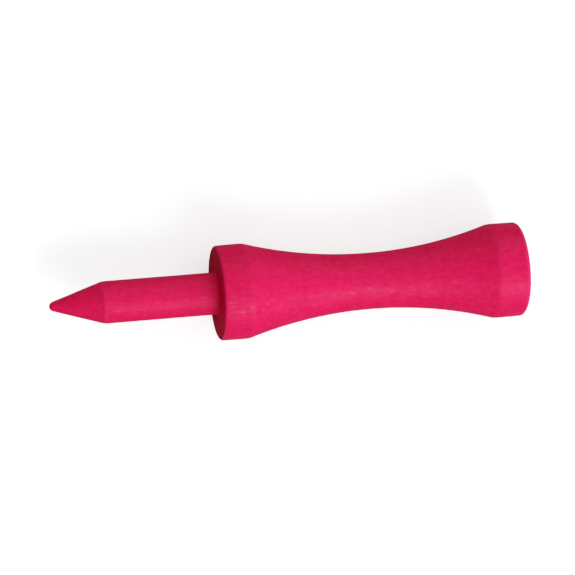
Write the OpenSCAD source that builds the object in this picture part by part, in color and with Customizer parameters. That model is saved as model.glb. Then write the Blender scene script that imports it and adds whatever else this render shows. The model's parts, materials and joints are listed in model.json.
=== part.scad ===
// Castle golf tee: one turned hardwood blank with a coat of paint all over it.
// It stands as it is used, on the z axis: cup up, point down, with the ground at z = 0.
// The stem below z = 0 is pushed into the ground until the flat shoulder face stops it.

/* [Barrel] */
// Height from the shoulder face to the rim of the cup, in mm
barrel_h = 45.5; // [38:0.5:56]
// Diameter at the narrowest place of the barrel
waist_d = 8.26; // [7:0.02:10]
// Height of the narrowest place above the shoulder face
waist_z = 22.6; // [19:0.2:26]
// Radius of the hollow curve that sweeps the barrel in to its waist
waist_curve_r = 61.5; // [55:0.1:80]
// Height of the straight band just above the shoulder face
shoulder_band_h = 4.2; // [3:0.1:6]
// Height of the straight band just below the rim
cup_band_h = 4.5; // [3:0.1:6]
// Radius that softens the crease between a band and the hollow curve
crease_r = 1.8; // [0.6:0.1:2]
// Rounding of the outer edge of the shoulder face
shoulder_edge_r = 0.4; // [0.3:0.05:0.8]

/* [Cup] */
// Diameter of the dish where it meets the flat rim, before its edge is eased
cup_mouth_d = 10.6; // [9.8:0.1:11.2]
// Depth of the dish at its centre, below the rim
cup_depth = 1.9; // [1.2:0.1:2.4]
// Rounding of the rim's outer edge
rim_edge_r = 0.65; // [0.3:0.05:0.8]
// Rounding of the dish's mouth edge, where the ball touches
mouth_edge_r = 0.35; // [0.2:0.05:0.4]

/* [Stem and point] */
// Diameter of the stem
stem_d = 6.15; // [5.5:0.05:7]
// Length from the shoulder face to the end of the point
stem_len = 24.5; // [20:0.5:32]
// Angle between the side of the point and the axis, in degrees
point_half_angle = 18; // [15:0.5:24]
// Radius of the blunt end of the point
nose_r = 0.72; // [0.4:0.02:0.9]
// Radius that softens the crease between the stem and the point
point_crease_r = 3; // [1:0.25:3]
// Fillet where the stem meets the shoulder face
stem_fillet_r = 0.45; // [0.3:0.05:0.8]

/* [Paint] */
// Thickness of the dried coat of paint, the same all over
paint_t = 0.08; // [0.05:0.01:0.12]

/* [Hidden] */
$fn = 180;
hollow_fn = 720; // finer, as the hollow curve is a short arc of a large circle
clip_margin = 5; // reach of the clipping square beyond the section
wood_colour = [0.87, 0.74, 0.55];
paint_colour = [0.86, 0.11, 0.37];

// Sizes and centres below are those of the painted surface; centres are [radius, z].

// Barrel: the hollow curve's centre lies outside it, level with the waist
hollow_centre = [waist_d / 2 + waist_curve_r, waist_z];

// Distance from the axis to the hollow curve at height z
function hollow_radius(z) =
    hollow_centre[0] - sqrt(pow(waist_curve_r, 2) - pow(z - waist_z, 2));

// The bands take the radius that the hollow curve has reached where it meets them
shoulder_r = hollow_radius(shoulder_band_h);
rim_r = hollow_radius(barrel_h - cup_band_h);

// Height from the waist to the centre of a crease arc
// that touches both a band of this radius and the hollow curve
function crease_rise(band_r) =
    sqrt(pow(waist_curve_r + crease_r, 2) - pow(hollow_centre[0] - band_r + crease_r, 2));

lower_crease_centre = [shoulder_r - crease_r, waist_z - crease_rise(shoulder_r)];
upper_crease_centre = [rim_r - crease_r, waist_z + crease_rise(rim_r)];
shoulder_edge_centre = [shoulder_r - shoulder_edge_r, shoulder_edge_r];
rim_edge_centre = [rim_r - rim_edge_r, barrel_h - rim_edge_r];

// Cup: the dish is part of a sphere through its mouth and its deepest point
dish_r = (pow(cup_mouth_d / 2, 2) + pow(cup_depth, 2)) / (2 * cup_depth);
dish_centre = [0, barrel_h - cup_depth + dish_r];
mouth_edge_z = barrel_h - mouth_edge_r;
mouth_edge_centre = [
    sqrt(pow(dish_r + mouth_edge_r, 2) - pow(dish_centre[1] - mouth_edge_z, 2)),
    mouth_edge_z
];

// Stem and point: outward normal of the point's side, and the arcs at its two ends
stem_r = stem_d / 2;
point_normal = [cos(point_half_angle), -sin(point_half_angle)];
nose_centre = [0, nose_r - stem_len];
point_crease_x = stem_r - point_crease_r;
point_crease_centre = [
    point_crease_x,
    nose_centre[1]
        + (point_normal[0] * point_crease_x - nose_r + point_crease_r) / sin(point_half_angle)
];
stem_fillet_centre = [stem_r + stem_fillet_r, -stem_fillet_r];

// The point on an arc that faces another centre: where two touching arcs meet
function toward(centre, other, radius) =
    centre + radius * (other - centre) / norm(other - centre);

// Corners of half the tee's section, from the nose up to the dish, with a chord across
// every arc. Here and below, inset is the depth inside the painted surface.
function section_corners(inset) =
    let (
        nose_end = nose_centre + (nose_r - inset) * point_normal,
        dish_end = toward(dish_centre, mouth_edge_centre, dish_r + inset)
    ) [
        [0, nose_end[1]],
        nose_end,
        point_crease_centre + (point_crease_r - inset) * point_normal,
        [stem_r - inset, point_crease_centre[1]],
        [stem_r - inset, stem_fillet_centre[1]],
        [stem_fillet_centre[0], inset],
        [shoulder_edge_centre[0], inset],
        [shoulder_r - inset, shoulder_edge_centre[1]],
        [shoulder_r - inset, lower_crease_centre[1]],
        toward(hollow_centre, lower_crease_centre, waist_curve_r + inset),
        toward(hollow_centre, upper_crease_centre, waist_curve_r + inset),
        [rim_r - inset, upper_crease_centre[1]],
        [rim_r - inset, rim_edge_centre[1]],
        [rim_edge_centre[0], barrel_h - inset],
        [mouth_edge_centre[0], barrel_h - inset],
        dish_end,
        [0, dish_end[1]]
    ];

module disc(centre, radius) {
    translate(centre) circle(r = radius);
}

// Half the tee's section. Hollow arcs are cut away first, then rounded edges are filled in;
// the square keeps only the side to the right of the axis.
module half_section(inset) {
    intersection() {
        union() {
            difference() {
                polygon(section_corners(inset));
                translate(hollow_centre) circle(r = waist_curve_r + inset, $fn = hollow_fn);
                disc(dish_centre, dish_r + inset);
                disc(stem_fillet_centre, stem_fillet_r + inset);
            }
            disc(nose_centre, nose_r - inset);
            disc(point_crease_centre, point_crease_r - inset);
            disc(shoulder_edge_centre, shoulder_edge_r - inset);
            disc(lower_crease_centre, crease_r - inset);
            disc(upper_crease_centre, crease_r - inset);
            disc(rim_edge_centre, rim_edge_r - inset);
            disc(mouth_edge_centre, mouth_edge_r - inset);
        }
        translate([0, -stem_len - clip_margin])
            square([shoulder_r + clip_margin, stem_len + barrel_h + 2 * clip_margin]);
    }
}

// The whole tee as a solid
module turned(inset) {
    rotate_extrude() half_section(inset);
}

// The turned hardwood blank, with the grain along the axis
module wood_body() {
    color(wood_colour) turned(paint_t);
}

// The coat of paint: a closed skin of even thickness that wraps the whole blank
module paint_coat() {
    color(paint_colour) difference() {
        turned(0);
        turned(paint_t);
    }
}

wood_body();
paint_coat();
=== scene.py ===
"""A turned wooden golf tee dipped in hot pink paint.

The tee stands along Z with its cup at the top and its point below. z = 0 is the
shoulder face, where the stem meets the head. The form is worked out in millimetres
and the meshes are made in metres.
"""
import json
import math
from dataclasses import dataclass

import bpy
import numpy as np
from mathutils import Matrix, Vector, noise


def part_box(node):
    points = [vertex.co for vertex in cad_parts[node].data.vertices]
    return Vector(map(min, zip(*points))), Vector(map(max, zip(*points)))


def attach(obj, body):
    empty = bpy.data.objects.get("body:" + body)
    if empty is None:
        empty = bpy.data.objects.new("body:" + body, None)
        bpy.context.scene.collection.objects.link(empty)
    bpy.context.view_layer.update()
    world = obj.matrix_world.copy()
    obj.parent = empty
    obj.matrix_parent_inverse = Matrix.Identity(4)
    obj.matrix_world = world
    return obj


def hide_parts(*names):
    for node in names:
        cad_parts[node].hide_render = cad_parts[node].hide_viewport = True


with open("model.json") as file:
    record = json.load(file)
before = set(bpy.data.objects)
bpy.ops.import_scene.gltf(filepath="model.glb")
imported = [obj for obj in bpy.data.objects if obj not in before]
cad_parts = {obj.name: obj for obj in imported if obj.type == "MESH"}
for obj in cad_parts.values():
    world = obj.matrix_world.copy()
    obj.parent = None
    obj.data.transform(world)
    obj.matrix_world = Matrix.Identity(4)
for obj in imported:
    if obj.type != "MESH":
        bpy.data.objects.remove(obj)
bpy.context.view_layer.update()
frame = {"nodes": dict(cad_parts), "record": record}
scene = bpy.context.scene

# ---------------------------------------------------------------------------
# Sizes of the painted surface, in millimetres
# ---------------------------------------------------------------------------
MM = 0.001
coat_lo, coat_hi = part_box("paint_coat")
mounts = {mount["name"]: mount for mount in frame["record"]["mounts"]}
RIM_Z = coat_hi.z * 1000.0
TIP_Z = coat_lo.z * 1000.0
STEM_R = mounts["stem"]["dims"]["r_mm"]

WAIST_R, WAIST_Z, HOLLOW_R = 4.13, 22.6, 61.5
SHOULDER_BAND, CUP_BAND = 4.2, 4.5          # heights of the straight bands
CREASE_R = 3.4                              # where a band turns into the hollow waist
SHOULDER_EDGE_R, RIM_EDGE_R, MOUTH_EDGE_R = 0.40, 0.65, 0.35
MOUTH_R, DISH_DEPTH = 5.3, 1.9
POINT_ANGLE = math.radians(18.0)            # between the point's side and the axis
NOSE_R, POINT_CREASE_R, FILLET_R = 0.72, 3.0, 0.45

# The bands ease in towards their outer corners.
SHOULDER_EASE, RIM_EASE, EASE_POWER = 0.055, 0.015, 1.5
EASE_MIN_R = 6.0                            # keeps the mouth's edge out of it


# ---------------------------------------------------------------------------
# Profile: (radius, z) points and arc centres
# ---------------------------------------------------------------------------
def point(radius, z):
    return np.array([radius, z], float)


def step_towards(start, goal, distance):
    gap = goal - start
    return start + distance * (gap / np.linalg.norm(gap))


def hollow_radius(z):
    """Radius of the hollow waist at a height."""
    return WAIST_R + HOLLOW_R - math.sqrt(HOLLOW_R**2 - (z - WAIST_Z) ** 2)


def crease_rise(band_r):
    """Height between the waist and the centre of the crease arc that meets a band."""
    return math.sqrt((HOLLOW_R + CREASE_R) ** 2 - (WAIST_R + HOLLOW_R - band_r + CREASE_R) ** 2)


shoulder_r = hollow_radius(SHOULDER_BAND)
rim_r = hollow_radius(RIM_Z - CUP_BAND)
hollow_mid = point(WAIST_R + HOLLOW_R, WAIST_Z)
lower_mid = point(shoulder_r - CREASE_R, WAIST_Z - crease_rise(shoulder_r))
upper_mid = point(rim_r - CREASE_R, WAIST_Z + crease_rise(rim_r))
edge_mid = point(shoulder_r - SHOULDER_EDGE_R, SHOULDER_EDGE_R)
rim_mid = point(rim_r - RIM_EDGE_R, RIM_Z - RIM_EDGE_R)
fillet_mid = point(STEM_R + FILLET_R, -FILLET_R)

dish_r = (MOUTH_R**2 + DISH_DEPTH**2) / (2 * DISH_DEPTH)
dish_mid = point(0.0, RIM_Z - DISH_DEPTH + dish_r)
mouth_z = RIM_Z - MOUTH_EDGE_R
mouth_mid = point(
    math.sqrt((dish_r + MOUTH_EDGE_R) ** 2 - (dish_mid[1] - mouth_z) ** 2), mouth_z
)

point_out = point(math.cos(POINT_ANGLE), -math.sin(POINT_ANGLE))   # normal of the point's side
nose_mid = point(0.0, TIP_Z + NOSE_R)
point_inner_r = STEM_R - POINT_CREASE_R
point_rise = (
    point_out[0] * point_inner_r - NOSE_R + POINT_CREASE_R
) / math.sin(POINT_ANGLE)
point_mid = point(point_inner_r, nose_mid[1] + point_rise)


@dataclass
class Row:
    """One ring of the lathed mesh."""
    radius: float
    z: float
    out_r: float     # surface normal
    out_z: float
    edge: float      # how much it is an outer edge
    corner: float    # how much it is a hollow corner
    zone: str


class Profile:
    """Draws on from the last point, so each run starts where the one before it ended."""

    def __init__(self, start):
        self.pen = start
        self.rows = []

    def fractions(self, count):
        """Fractions along a run. Only the first run includes its own start."""
        return [i / count for i in range(1 if self.rows else 0, count + 1)]

    def line(self, end, step, zone):
        gap = end - self.pen
        length = np.linalg.norm(gap)
        out = (gap[1] / length, -gap[0] / length)
        for part in self.fractions(max(2, int(math.ceil(length / step)))):
            self.rows.append(Row(*(self.pen + gap * part), *out, 0.0, 0.0, zone))
        self.pen = end

    def arc(self, mid, end, step, zone, hollow=False, edge=0.0, corner=0.0):
        """The surface faces away from mid, or towards it on a hollow arc."""
        radius = np.linalg.norm(self.pen - mid)
        first = math.atan2(*(self.pen - mid)[::-1])
        last = math.atan2(*(end - mid)[::-1])
        while last - first > math.pi:
            last -= 2 * math.pi
        while last - first < -math.pi:
            last += 2 * math.pi
        for part in self.fractions(max(3, int(math.ceil(abs(last - first) * radius / step)))):
            angle = first + (last - first) * part
            away = point(math.cos(angle), math.sin(angle))
            out = -away if hollow else away
            ramp = math.sin(math.pi * part)
            place = mid + radius * away
            self.rows.append(Row(*place, *out, edge * ramp, corner * ramp, zone))
        self.pen = end


def draw_profile():
    """Rows from the tip, up the outside and in to the middle of the dish."""
    crease = dict(step=0.12, zone="band", edge=0.12)
    band = dict(step=0.21, zone="band")
    outer_edge = dict(step=0.07, zone="edge", edge=1.0)
    plain_step = 0.235
    path = Profile(point(0.0, TIP_Z))

    path.arc(nose_mid, nose_mid + NOSE_R * point_out, step=0.09, zone="nose", edge=0.7)
    path.line(point_mid + POINT_CREASE_R * point_out, step=0.22, zone="point")
    path.arc(point_mid, point(STEM_R, point_mid[1]), step=0.12, zone="point", edge=0.5)
    path.line(point(STEM_R, fillet_mid[1]), step=plain_step, zone="stem")
    path.arc(fillet_mid, point(fillet_mid[0], 0.0), step=0.07, zone="fillet",
             hollow=True, corner=1.0)

    path.line(point(edge_mid[0], 0.0), step=0.15, zone="shoulder")
    path.arc(edge_mid, point(shoulder_r, edge_mid[1]), **outer_edge)
    path.line(point(shoulder_r, lower_mid[1]), **band)
    path.arc(lower_mid, step_towards(hollow_mid, lower_mid, HOLLOW_R), **crease)
    path.arc(hollow_mid, step_towards(hollow_mid, upper_mid, HOLLOW_R),
             step=plain_step, zone="waist", hollow=True)
    path.arc(upper_mid, point(rim_r, upper_mid[1]), **crease)
    path.line(point(rim_r, rim_mid[1]), **band)

    path.arc(rim_mid, point(rim_mid[0], RIM_Z), **outer_edge)
    path.line(point(mouth_mid[0], RIM_Z), step=0.13, zone="rim")
    path.arc(mouth_mid, step_towards(dish_mid, mouth_mid, dish_r),
             step=0.06, zone="edge", edge=0.8)
    path.arc(dish_mid, point(0.0, RIM_Z - DISH_DEPTH), step=0.16, zone="dish", hollow=True)
    return path.rows


def ease_bands(rows):
    for row in rows:
        if row.zone not in ("band", "edge") or row.radius <= EASE_MIN_R:
            continue
        if row.z < lower_mid[1]:
            row.radius -= SHOULDER_EASE * (1 - row.z / lower_mid[1]) ** EASE_POWER
        elif row.z > upper_mid[1]:
            part = (row.z - upper_mid[1]) / (RIM_Z - upper_mid[1])
            row.radius -= RIM_EASE * part ** EASE_POWER


# ---------------------------------------------------------------------------
# Paint coat: the profile lathed into one closed mesh, with the small departures
# from a perfect form that turned, painted wood has
# ---------------------------------------------------------------------------
AROUND = 208
BUMPS = [  # angle in degrees, distance along the profile, radius, height (negative for dents)
    (28, 6.5, 0.34, 0.022), (101, 13.1, 0.30, 0.018), (212, 19.6, 0.32, 0.020),
    (318, 34.2, 0.36, 0.022), (341, 41.0, 0.34, 0.024), (17, 47.9, 0.36, 0.024),
    (66, 55.3, 0.38, 0.026), (152, 44.5, 0.33, 0.022), (255, 60.2, 0.36, 0.022),
    (198, 70.6, 0.34, 0.020), (5, 64.3, 0.45, -0.030), (289, 50.5, 0.50, -0.028),
    (124, 66.4, 0.55, -0.032), (236, 38.2, 0.45, -0.028), (335, 22.4, 0.40, -0.022),
    (75, 30.1, 0.36, -0.020),
]
BUMP_REACH, BUMP_CUT, BUMP_FALL = 2.2, 5.0, 1.6   # limits in radii and radii squared, falloff
RING_DEPTH = {
    "nose": 0.001, "point": 0.0060, "stem": 0.0100, "fillet": 0.001, "shoulder": 0.0080,
    "edge": 0.0006, "band": 0.0040, "waist": 0.0036, "rim": 0.0030, "dish": 0.0090,
}
OVAL, THREE_LOBES, FULL_OVAL_R = 0.014, 0.006, 7.0   # out of round, in full from this radius
THICK_AND_THIN = 0.011
GRAIN, FIBRE = 0.0060, 0.0038
POLE_SHARE = 0.3                                  # share of the departure kept on the axis


def noise_at(x, y, z):
    return noise.noise(Vector((x, y, z)))


def ring_mark(run):
    """Turning marks at a distance along the profile: two noises and a steady feed."""
    slice_at = (7.31, 2.17)
    feed_pitch = 1.31
    return (
        0.75 * noise_at(run * 0.55, *slice_at)
        + 0.55 * noise_at((run + 31.0) * 1.15, *slice_at)
        + 0.25 * math.sin(run * 2 * math.pi / feed_pitch)
    )


def bump_height(run, angle, radius):
    total = 0.0
    for degrees, bump_run, size, height in BUMPS:
        gap = run - bump_run
        if abs(gap) < BUMP_REACH * size:
            turn = (angle - math.radians(degrees) + math.pi) % (2 * math.pi) - math.pi
            spread = (gap * gap + (turn * radius) ** 2) / (size * size)
            if spread < BUMP_CUT:
                total += height * math.exp(-BUMP_FALL * spread)
    return total


def departure(row, run, mark, angle, x, y, grain):
    """How far the surface stands off the perfect form."""
    out_of_round = OVAL * math.cos(2 * (angle - 0.6)) + THREE_LOBES * math.cos(3 * angle + 1.1)
    fibre = noise_at(x * 1.25 + 0.4 * y, y * 1.25 + 9.0 - 0.4 * x, row.z * 0.085)
    return (
        min(row.radius / FULL_OVAL_R, 1.0) * out_of_round * abs(row.out_r)
        + THICK_AND_THIN * noise_at(x * 0.16, y * 0.16, row.z * 0.11)
        + GRAIN * grain + FIBRE * fibre
        + RING_DEPTH[row.zone] * mark
        + bump_height(run, angle, row.radius)
    )


def on_axis(row):
    return row.radius < 1e-6


def lathe_points(rows, runs):
    """Vertices in metres, and the values each carries."""
    verts = []
    values = {"s_mm": [], "edge": [], "corner": [], "grain": []}
    for row, run in zip(rows, runs):
        mark = ring_mark(run)
        pole = on_axis(row)
        for k in range(1 if pole else AROUND):
            angle = k * 2 * math.pi / AROUND
            cosine, sine = math.cos(angle), math.sin(angle)
            x, y = row.radius * cosine, row.radius * sine
            # grain lines run along the axis, and show as specks on the end faces
            grain = noise_at(x * 0.72 + 3.0, y * 0.72, row.z * 0.040)
            off = departure(row, run, mark, angle, x, y, grain)
            if pole:
                off *= POLE_SHARE
            radius = row.radius + off * row.out_r
            verts.append((radius * cosine * MM, radius * sine * MM,
                          (row.z + off * row.out_z) * MM))
            values["s_mm"].append(run)
            values["edge"].append(row.edge)
            values["corner"].append(row.corner)
            values["grain"].append(grain)
    return verts, values


def lathe_faces(rows, runs):
    """Faces and their UVs: u goes round the axis and v along the profile."""
    faces, uvs = [], []
    low = 0
    for i in range(len(rows) - 1):
        high = low + (1 if on_axis(rows[i]) else AROUND)
        v_low, v_high = runs[i] / runs[-1], runs[i + 1] / runs[-1]
        for k in range(AROUND):
            after = (k + 1) % AROUND
            u_low, u_high = k / AROUND, (k + 1) / AROUND
            u_mid = (u_low + u_high) / 2
            if on_axis(rows[i]):
                faces.append((low, high + after, high + k))
                uvs += [(u_mid, v_low), (u_high, v_high), (u_low, v_high)]
            elif on_axis(rows[i + 1]):
                faces.append((low + k, low + after, high))
                uvs += [(u_low, v_low), (u_high, v_low), (u_mid, v_high)]
            else:
                faces.append((low + k, low + after, high + after, high + k))
                uvs += [(u_low, v_low), (u_high, v_low), (u_high, v_high), (u_low, v_high)]
        low = high
    return faces, uvs


def build_coat():
    rows = draw_profile()
    steps = np.hypot(np.diff([row.radius for row in rows]), np.diff([row.z for row in rows]))
    runs = np.concatenate([[0.0], np.cumsum(steps)])
    ease_bands(rows)
    verts, values = lathe_points(rows, runs)
    faces, uvs = lathe_faces(rows, runs)

    mesh = bpy.data.meshes.new("paint_coat_surface")
    mesh.from_pydata(verts, [], faces)
    mesh.update()
    uv_map = mesh.uv_layers.new(name="turned")
    uv_map.data.foreach_set("uv", np.array(uvs, np.float32).ravel())
    for name, numbers in values.items():
        attribute = mesh.attributes.new(name, "FLOAT", "POINT")
        attribute.data.foreach_set("value", np.array(numbers, np.float32))
    mesh.polygons.foreach_set("use_smooth", [True] * len(mesh.polygons))
    mesh.validate()
    coat = bpy.data.objects.new("paint_coat_surface", mesh)
    scene.collection.objects.link(coat)
    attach(coat, "root")
    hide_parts("paint_coat")
    return coat


# ---------------------------------------------------------------------------
# Node trees
# ---------------------------------------------------------------------------
class Nodes:
    """A short way to write a node tree."""

    def __init__(self, tree):
        self.tree = tree
        self.place = None

    def node(self, kind, **props):
        made = self.tree.nodes.new(kind)
        for key, value in props.items():
            setattr(made, key, value)
        return made

    def put(self, socket, value):
        """Link a socket to an output, or set its value."""
        if hasattr(value, "is_output"):
            self.tree.links.new(value, socket)
        elif isinstance(value, (tuple, list)) and len(value) == 3 and socket.type == "RGBA":
            socket.default_value = (*value, 1.0)
        else:
            socket.default_value = value

    def fed(self, kind, inputs, **props):
        """A new node with its inputs filled, given by name or number."""
        made = self.node(kind, **props)
        for key, value in inputs.items():
            self.put(made.inputs[key], value)
        return made

    def maths(self, operation, first, second=0.0, third=None, clamp=False):
        inputs = {0: first, 1: second}
        if third is not None:
            inputs[2] = third
        made = self.fed("ShaderNodeMath", inputs, operation=operation, use_clamp=clamp)
        return made.outputs[0]

    def times(self, first, second):
        return self.maths("MULTIPLY", first, second)

    def plus(self, value, gain, base, clamp=False):
        """base + gain * value"""
        return self.maths("MULTIPLY_ADD", value, gain, base, clamp)

    def sway(self, value, gain, base):
        """base, moved by how far value is from one half."""
        return self.plus(self.maths("SUBTRACT", value, 0.5), gain, base)

    def vector(self, operation, first, second):
        inputs = {0: first, 1: second}
        return self.fed("ShaderNodeVectorMath", inputs, operation=operation).outputs[0]

    def stretched(self, scale):
        """Object coordinates in millimetres, times a scale for each axis."""
        if self.place is None:
            self.place = self.node("ShaderNodeTexCoord").outputs["Object"]
        return self.vector("MULTIPLY", self.place, tuple(1000.0 * value for value in scale))

    def noise(self, where, scale=1.0, detail=2.0, rough=0.5, output=0):
        """Noise over a vector, or over object millimetres times a tuple of scales."""
        if isinstance(where, tuple):
            where = self.stretched(where)
        inputs = {"Vector": where, "Scale": scale, "Detail": detail, "Roughness": rough}
        return self.fed("ShaderNodeTexNoise", inputs, noise_dimensions="3D").outputs[output]

    def noise_along(self, run, scale, detail, rough):
        inputs = {"W": run, "Scale": scale, "Detail": detail, "Roughness": rough}
        return self.fed("ShaderNodeTexNoise", inputs, noise_dimensions="1D").outputs[0]

    def span(self, value, low, high, at_low=0.0, at_high=1.0, smooth=False):
        inputs = {"Value": value, "From Min": low, "From Max": high,
                  "To Min": at_low, "To Max": at_high}
        kind = "SMOOTHSTEP" if smooth else "LINEAR"
        made = self.fed("ShaderNodeMapRange", inputs, interpolation_type=kind, clamp=True)
        return made.outputs["Result"]

    def spots(self, where, scale, radius, chosen, channel):
        """Soft dots in cells. A cell has one if its random colour's channel passes chosen."""
        cells = self.fed("ShaderNodeTexVoronoi", {"Vector": where, "Scale": scale}, feature="F1")
        random = self.fed("ShaderNodeSeparateColor", {0: cells.outputs["Color"]})
        dot = self.span(cells.outputs["Distance"], *radius, at_low=1.0, at_high=0.0, smooth=True)
        return self.times(dot, self.span(random.outputs[channel], *chosen))

    def mix(self, amount, first, second):
        inputs = {0: amount, 6: first, 7: second}
        made = self.fed("ShaderNodeMix", inputs, data_type="RGBA", blend_type="MIX")
        return made.outputs[2]

    def tint(self, colour, where, amount, towards):
        return self.mix(self.times(where, amount), colour, towards)

    def attribute(self, name):
        return self.node("ShaderNodeAttribute", attribute_name=name).outputs["Fac"]

    def split(self, vector):
        return self.fed("ShaderNodeSeparateXYZ", {0: vector}).outputs

    def relief(self, *layers):
        """Bumps laid one over another, each a height and a distance in metres."""
        normal = None
        for height, distance in layers:
            inputs = {"Height": height, "Distance": distance, "Strength": 1.0}
            if normal is not None:
                inputs["Normal"] = normal
            normal = self.fed("ShaderNodeBump", inputs).outputs[0]
        return normal

    def shader(self, kind, inputs):
        return self.fed(kind, inputs).outputs[0]

    def finish(self, shader, kind="ShaderNodeOutputMaterial"):
        self.fed(kind, {"Surface": shader})

    def gate(self, lying, upright):
        """One value when the tee lies across the view, another when it stands in it."""
        axis = self.fed("ShaderNodeVectorTransform", {0: (0, 0, 1)},
                        vector_type="VECTOR", convert_from="WORLD", convert_to="CAMERA")
        across_view = self.split(axis.outputs[0])[0]
        size = self.fed("ShaderNodeMath", {0: across_view}, operation="ABSOLUTE")
        is_lying = self.maths("GREATER_THAN", size.outputs[0], 0.5)
        return self.plus(is_lying, gain=lying - upright, base=upright)


def new_material(name):
    material = bpy.data.materials.new(name)
    material.use_nodes = True
    material.node_tree.nodes.clear()
    return material, Nodes(material.node_tree)


# ---------------------------------------------------------------------------
# Materials
# ---------------------------------------------------------------------------
def paint_tone(net, place, run, fibre, blush):
    """Paint that lies thick and thin: slow mottling, streaks, fibres, rings and a fine blush."""
    mottle = net.noise(place, scale=0.22, detail=3.0, rough=0.55)
    streak = net.noise((1.6, 1.6, 0.075), detail=3.0, rough=0.6)
    rings = net.noise_along(run, scale=1.35, detail=3.0, rough=0.65)
    tone = 0.5
    for layer, gain in ((mottle, 0.6), (streak, 0.7), (fibre, 0.45), (rings, 0.30)):
        tone = net.sway(layer, gain, tone)
    return net.plus(blush, gain=1.5, base=tone, clamp=True)


def paint_gloss(net, run):
    """Smoother slivers where paint has levelled over a fibre, and broken arcs from turning."""
    waver = net.noise((0.9, 0.9, 0.5), detail=1.0, output="Color")
    centred = net.vector("SUBTRACT", waver, (0.5, 0.5, 0.5))
    bend = net.vector("MULTIPLY", centred, (1.5, 1.5, 1.1))
    turned = net.fed("ShaderNodeMapping", {
        "Vector": net.stretched((3.1, 3.1, 0.92)),
        "Rotation": (0.21, 0.13, 0.55),
    }).outputs[0]
    sliver = net.noise(net.vector("ADD", turned, bend), detail=3.0, rough=0.6)
    sliver = net.span(sliver, low=0.52, high=0.72, smooth=True)
    arc_line = net.noise_along(run, scale=2.1, detail=2.0, rough=0.6)
    arc_line = net.span(arc_line, low=0.55, high=0.70, smooth=True)
    arc_part = net.noise(net.vector("ADD", net.stretched((0.30, 0.30, 0.45)), bend))
    arc_part = net.span(arc_part, low=0.47, high=0.66, smooth=True)
    arcs = net.times(arc_line, arc_part)
    return net.maths("MAXIMUM", sliver, net.times(arcs, 0.35))


def paint_material():
    material, net = new_material("hot_pink_paint")
    place = net.stretched((1, 1, 1))
    run = net.attribute("s_mm")
    edge = net.attribute("edge")
    corner = net.attribute("corner")
    fibre = net.noise((4.6, 4.6, 0.22), rough=0.6)
    blush = net.noise((1.30, 1.30, 0.85), detail=3.0, rough=0.62)
    blush = net.maths("SUBTRACT", blush, 0.5)

    tone = paint_tone(net, place, run, fibre, blush)
    colour = net.mix(tone, (0.715, 0.0050, 0.068), (0.885, 0.0122, 0.111))

    # lighter on the turned edges: partly paint running thin there, partly a painted highlight
    # along the edges
    colour = net.tint(colour, edge, amount=0.60, towards=(0.90, 0.026, 0.145))
    # painted shade: darker in the hollow corner where the stem meets the shoulder face
    colour = net.tint(colour, corner, amount=0.40, towards=(0.48, 0.0035, 0.035))

    # pale flecks: partly lifted fibre, partly painted glints from their lighter colour; and a
    # few dark specks
    fleck = net.spots(net.stretched((1.9, 1.9, 0.95)), scale=1.0,
                      radius=(0.10, 0.24), chosen=(0.80, 0.84), channel=0)
    colour = net.tint(colour, fleck, amount=0.30, towards=(0.98, 0.052, 0.25))
    speck = net.spots(place, scale=0.42,
                      radius=(0.045, 0.085), chosen=(0.83, 0.86), channel=1)
    colour = net.tint(colour, speck, amount=0.60, towards=(0.28, 0.004, 0.022))

    # open pores: fine dark hairlines along the grain
    pores = net.span(net.noise((5.2, 5.2, 0.26)), low=0.27, high=0.50)
    pore_dark = net.span(pores, low=0.0, high=1.0, at_low=0.20, at_high=0.0)
    colour = net.mix(pore_dark, colour, (0.52, 0.0040, 0.045))

    # satin finish, a little uneven, varying with the grain
    gloss = paint_gloss(net, run)
    uneven = net.noise(place, scale=0.9, detail=3.0, rough=0.6)
    rough = net.sway(uneven, gain=0.20, base=0.42)
    rough = net.sway(fibre, gain=0.14, base=rough)
    rough = net.plus(gloss, gain=-0.09, base=rough)
    rough = net.plus(edge, gain=-0.04, base=rough, clamp=True)
    shine = net.plus(gloss, gain=0.145, base=0.122)
    shine = net.plus(edge, gain=0.10, base=shine)
    shine = net.times(shine, net.plus(blush, gain=0.7, base=1.0))

    # the turned end faces drink the paint, so they dry duller than the sides
    normal_z = net.split(net.node("ShaderNodeNewGeometry").outputs["Normal"])[2]
    end = net.span(net.maths("ABSOLUTE", normal_z), low=0.72, high=0.96, smooth=True)
    shine = net.times(shine, net.plus(end, gain=-0.72, base=1.0))
    rough = net.plus(end, gain=0.12, base=rough, clamp=True)

    # grain along the axis, lathe rings round it, the paint's own fine skin, then the spots
    skin = net.noise(place, scale=2.3, detail=4.0, rough=0.70)
    fine_rings = net.noise_along(run, scale=4.2, detail=2.0, rough=0.6)
    normal = net.relief(
        (pores, 13e-6),
        (fine_rings, 11e-6),
        (skin, 42e-6),
        (net.maths("SUBTRACT", fleck, speck), 14e-6),
    )
    net.finish(net.shader("ShaderNodeBsdfPrincipled", {
        "Base Color": colour,
        "Roughness": rough,
        "Normal": normal,
        "IOR": 1.45,
        "Specular IOR Level": shine,
    }))
    return material


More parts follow.
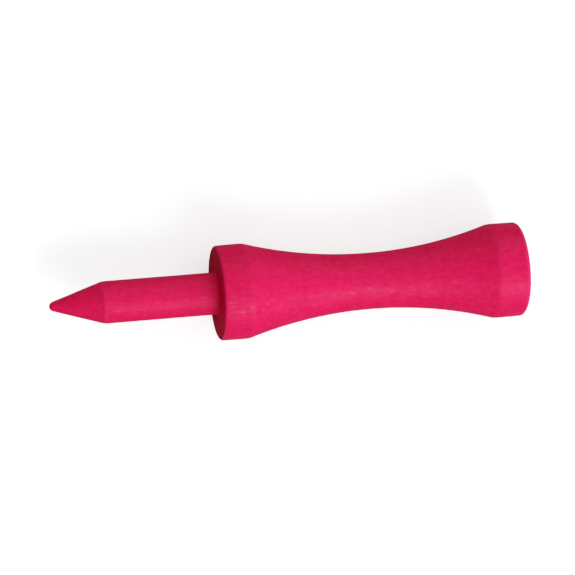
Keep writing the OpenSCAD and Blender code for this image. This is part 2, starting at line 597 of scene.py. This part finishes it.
def wood_material():
    """Birch, with growth rings about a pith line that runs beside the tee."""
    material, net = new_material("birch_blank")
    pith_x, pith_y = -19.0, -7.0
    rings_per_mm = 0.62
    place = net.split(net.stretched((1, 1, 1)))
    waver = net.noise((0.10, 0.10, 0.035), detail=3.0)
    from_x = net.maths("ADD", place[0], -pith_x)
    from_y = net.maths("ADD", place[1], -pith_y)
    squares = net.maths("ADD", net.times(from_x, from_x), net.times(from_y, from_y))
    from_pith = net.plus(waver, gain=2.6, base=net.maths("SQRT", squares))
    year = net.maths("FRACT", net.times(from_pith, rings_per_mm))
    late = net.span(year, low=0.62, high=0.97, smooth=True)
    fibre = net.noise((5.0, 5.0, 0.16), detail=4.0, rough=0.6)
    flecks = net.span(net.noise((8.0, 2.2, 0.9), detail=1.0), low=0.64, high=0.74)

    colour = net.mix(fibre, (0.60, 0.40, 0.215), (0.78, 0.60, 0.385))
    colour = net.tint(colour, late, amount=0.45, towards=(0.47, 0.285, 0.135))
    colour = net.tint(colour, flecks, amount=0.30, towards=(0.42, 0.25, 0.12))
    net.finish(net.shader("ShaderNodeBsdfPrincipled", {
        "Base Color": colour,
        "Roughness": net.span(fibre, low=0.25, high=0.75, at_low=0.66, at_high=0.52),
        "Normal": net.relief((fibre, 20e-6), (late, 12e-6)),
    }))
    return material


def pale_material(name, for_lying, bounce, seen, glow):
    """A pale surface shown only to the views it is for.

    bounce is its colour to light, seen its colour to the camera, and glow what it adds there.
    """
    material, net = new_material(name)
    lying = net.gate(lying=1.0, upright=0.0)
    shown = lying if for_lying else net.maths("SUBTRACT", 1.0, lying)
    to_camera = net.node("ShaderNodeLightPath").outputs["Is Camera Ray"]

    # far off it fades into the white room, so there is no horizon,
    # and from below it doesn't hide the tee
    metres = net.stretched((MM, MM, MM))
    distance = net.fed("ShaderNodeVectorMath", {0: metres}, operation="LENGTH").outputs["Value"]
    far = net.span(distance, low=0.10, high=0.30, smooth=True)
    behind = net.node("ShaderNodeNewGeometry").outputs["Backfacing"]
    hidden = net.times(net.maths("MAXIMUM", far, behind), to_camera)
    shown = net.times(shown, net.maths("SUBTRACT", 1.0, hidden))

    mottle = net.noise((0.05, 0.05, 0.05), detail=3.0)
    to_eye = net.mix(mottle, (seen * 0.98,) * 3, (seen * 1.02,) * 3)
    colour = net.mix(to_camera, (bounce,) * 3, to_eye)
    surface = net.shader("ShaderNodeBsdfDiffuse", {"Color": colour})
    lamp = net.shader("ShaderNodeEmission", {"Strength": net.times(to_camera, glow)})
    both = net.shader("ShaderNodeAddShader", {0: surface, 1: lamp})
    clear = net.shader("ShaderNodeBsdfTransparent", {})
    net.finish(net.shader("ShaderNodeMixShader", {0: shown, 1: clear, 2: both}))
    return material


coat = build_coat()
coat.data.materials.append(paint_material())
wood = frame["nodes"]["wood_body"]
wood.data.materials.clear()
wood.data.materials.append(wood_material())
wood.data.polygons.foreach_set("material_index", [0] * len(wood.data.polygons))


# ---------------------------------------------------------------------------
# Camera: rolled until the axis runs across the view, point to the left, and
# low enough to see a little of the shoulder face
# ---------------------------------------------------------------------------
def around(azimuth, elevation):
    """Direction at an azimuth and elevation in degrees: azimuth 0 is -Y and 90 is +X."""
    turn, rise = math.radians(azimuth), math.radians(elevation)
    return Vector((
        math.sin(turn) * math.cos(rise), -math.cos(turn) * math.cos(rise), math.sin(rise)
    ))


def placement(x_axis, y_axis, z_axis, origin):
    return Matrix((*zip(x_axis, y_axis, z_axis, origin), (0, 0, 0, 1)))


AZIMUTH, ELEVATION, TILT = -20.0, -11.0, math.radians(4.65)
LENS, SENSOR = 200.0, 36.0
FILL = 0.82                                 # share of the view's width the tee takes up

axis_up = Vector((0, 0, 1))
toward = around(AZIMUTH, ELEVATION)         # from the tee to the camera
along = (axis_up - toward * toward.z).normalized()
across = toward.cross(along)
view_right = along * math.cos(TILT) - across * math.sin(TILT)
view_up = along * math.sin(TILT) + across * math.cos(TILT)
centre = Vector((0, 0, (coat_hi.z + coat_lo.z) / 2))


def build_camera():
    data = bpy.data.cameras.new("camera")
    data.lens, data.sensor_width = LENS, SENSOR
    data.clip_start, data.clip_end = 0.01, 10.0
    camera = bpy.data.objects.new("camera", data)
    scene.collection.objects.link(camera)
    seen_length = (coat_hi.z - coat_lo.z) * math.cos(math.radians(ELEVATION))
    reach = seen_length / FILL / (SENSOR / LENS)
    camera.matrix_world = placement(view_right, view_up, toward, centre + toward * reach)
    scene.camera = camera


build_camera()


# ---------------------------------------------------------------------------
# Stage: a pale table behind the tee for views where it lies across, and a pale
# floor under the point for upright views
# ---------------------------------------------------------------------------
TABLE_GAP, FLOOR_GAP = 0.02, 0.00003        # table in millimetres, floor in metres


def build_sheet(name, place, size, material):
    half = size / 2
    corners = [(-half, -half, 0), (half, -half, 0), (half, half, 0), (-half, half, 0)]
    mesh = bpy.data.meshes.new(name)
    mesh.from_pydata(corners, [], [(0, 1, 2, 3)])
    sheet = bpy.data.objects.new(name, mesh)
    sheet.matrix_world = place
    mesh.materials.append(material)
    scene.collection.objects.link(sheet)


facing = around(AZIMUTH, 0.0)
build_sheet(
    "table",
    placement(axis_up.cross(facing), axis_up, facing, -facing * (shoulder_r + TABLE_GAP) * MM),
    size=3.0,
    material=pale_material("pale_table", for_lying=True, bounce=0.24, seen=0.62, glow=0.60),
)
build_sheet(
    "floor",
    Matrix.Translation((0, 0, coat_lo.z - FLOOR_GAP)),
    size=6.0,
    material=pale_material("pale_floor", for_lying=False, bounce=0.42, seen=0.92, glow=0.26),
)


# ---------------------------------------------------------------------------
# Light: for lying views a large soft key from the lower right, for upright
# views a set of soft boxes, and a pale room round both
# ---------------------------------------------------------------------------
def soft_box(name, direction, distance, size, lying, upright):
    data = bpy.data.lights.new(name, "AREA")
    data.shape, data.size, data.energy = "DISK", size, 1.0
    data.use_nodes = True
    net = Nodes(data.node_tree)
    glow = next(node for node in data.node_tree.nodes if node.type == "EMISSION")
    net.put(glow.inputs["Strength"], net.gate(lying, upright))
    light = bpy.data.objects.new(name, data)
    direction = direction.normalized()
    light.location = centre + direction * distance
    light.rotation_mode = "QUATERNION"
    light.rotation_quaternion = direction.to_track_quat("Z", "Y")
    light.visible_camera = False
    scene.collection.objects.link(light)


SOFT_BOXES = [  # name, direction, distance and size in metres, strength lying and upright
    ("key", toward * 0.66 - view_up * 0.72 + view_right * 0.48, 0.50, 0.26, 1.02, 0.75),
    ("above", toward * 0.40 + view_up * 0.95, 0.60, 0.50, 0.12, 0.0),
    ("left", around(-50, 30), 0.60, 0.34, 0.0, 2.0),
    ("top", around(-20, 75), 0.60, 0.45, 0.0, 0.35),
    ("back", around(187, 40), 0.60, 0.40, 0.0, 0.9),
]
for box in SOFT_BOXES:
    soft_box(*box)


def build_room():
    """A white world that lights more from above than from below."""
    world = bpy.data.worlds.new("pale_room")
    world.use_nodes = True
    world.node_tree.nodes.clear()
    net = Nodes(world.node_tree)
    white = (1.0, 1.0, 1.0)
    height = net.split(net.node("ShaderNodeTexCoord").outputs["Generated"])[2]
    level = net.span(height, low=-0.60, high=0.20, at_low=0.095, at_high=0.87, smooth=True)
    level = net.times(level, net.gate(lying=1.0, upright=0.46))
    light = net.shader("ShaderNodeBackground", {0: white, 1: level})
    seen = net.shader("ShaderNodeBackground", {0: white, 1: 0.995})
    to_camera = net.node("ShaderNodeLightPath").outputs["Is Camera Ray"]
    mixed = net.shader("ShaderNodeMixShader", {0: to_camera, 1: light, 2: seen})
    net.finish(mixed, "ShaderNodeOutputWorld")
    scene.world = world


TONE_CURVE = [  # light in, light out
    (0.010, 0.0100), (0.040, 0.0447), (0.080, 0.1028), (0.120, 0.1644), (0.200, 0.2832),
    (0.300, 0.4054), (0.450, 0.5435), (0.600, 0.6687), (0.800, 0.8343),
]


def set_view():
    """Plain colour with a camera's gentle shoulder."""
    view = scene.view_settings
    view.view_transform = "Standard"
    view.look = "None"
    view.exposure = 0.0
    view.gamma = 1.0
    view.use_curve_mapping = True
    for light_in, light_out in TONE_CURVE:
        view.curve_mapping.curves[3].points.new(light_in, light_out)
    view.curve_mapping.update()


build_room()
set_view()
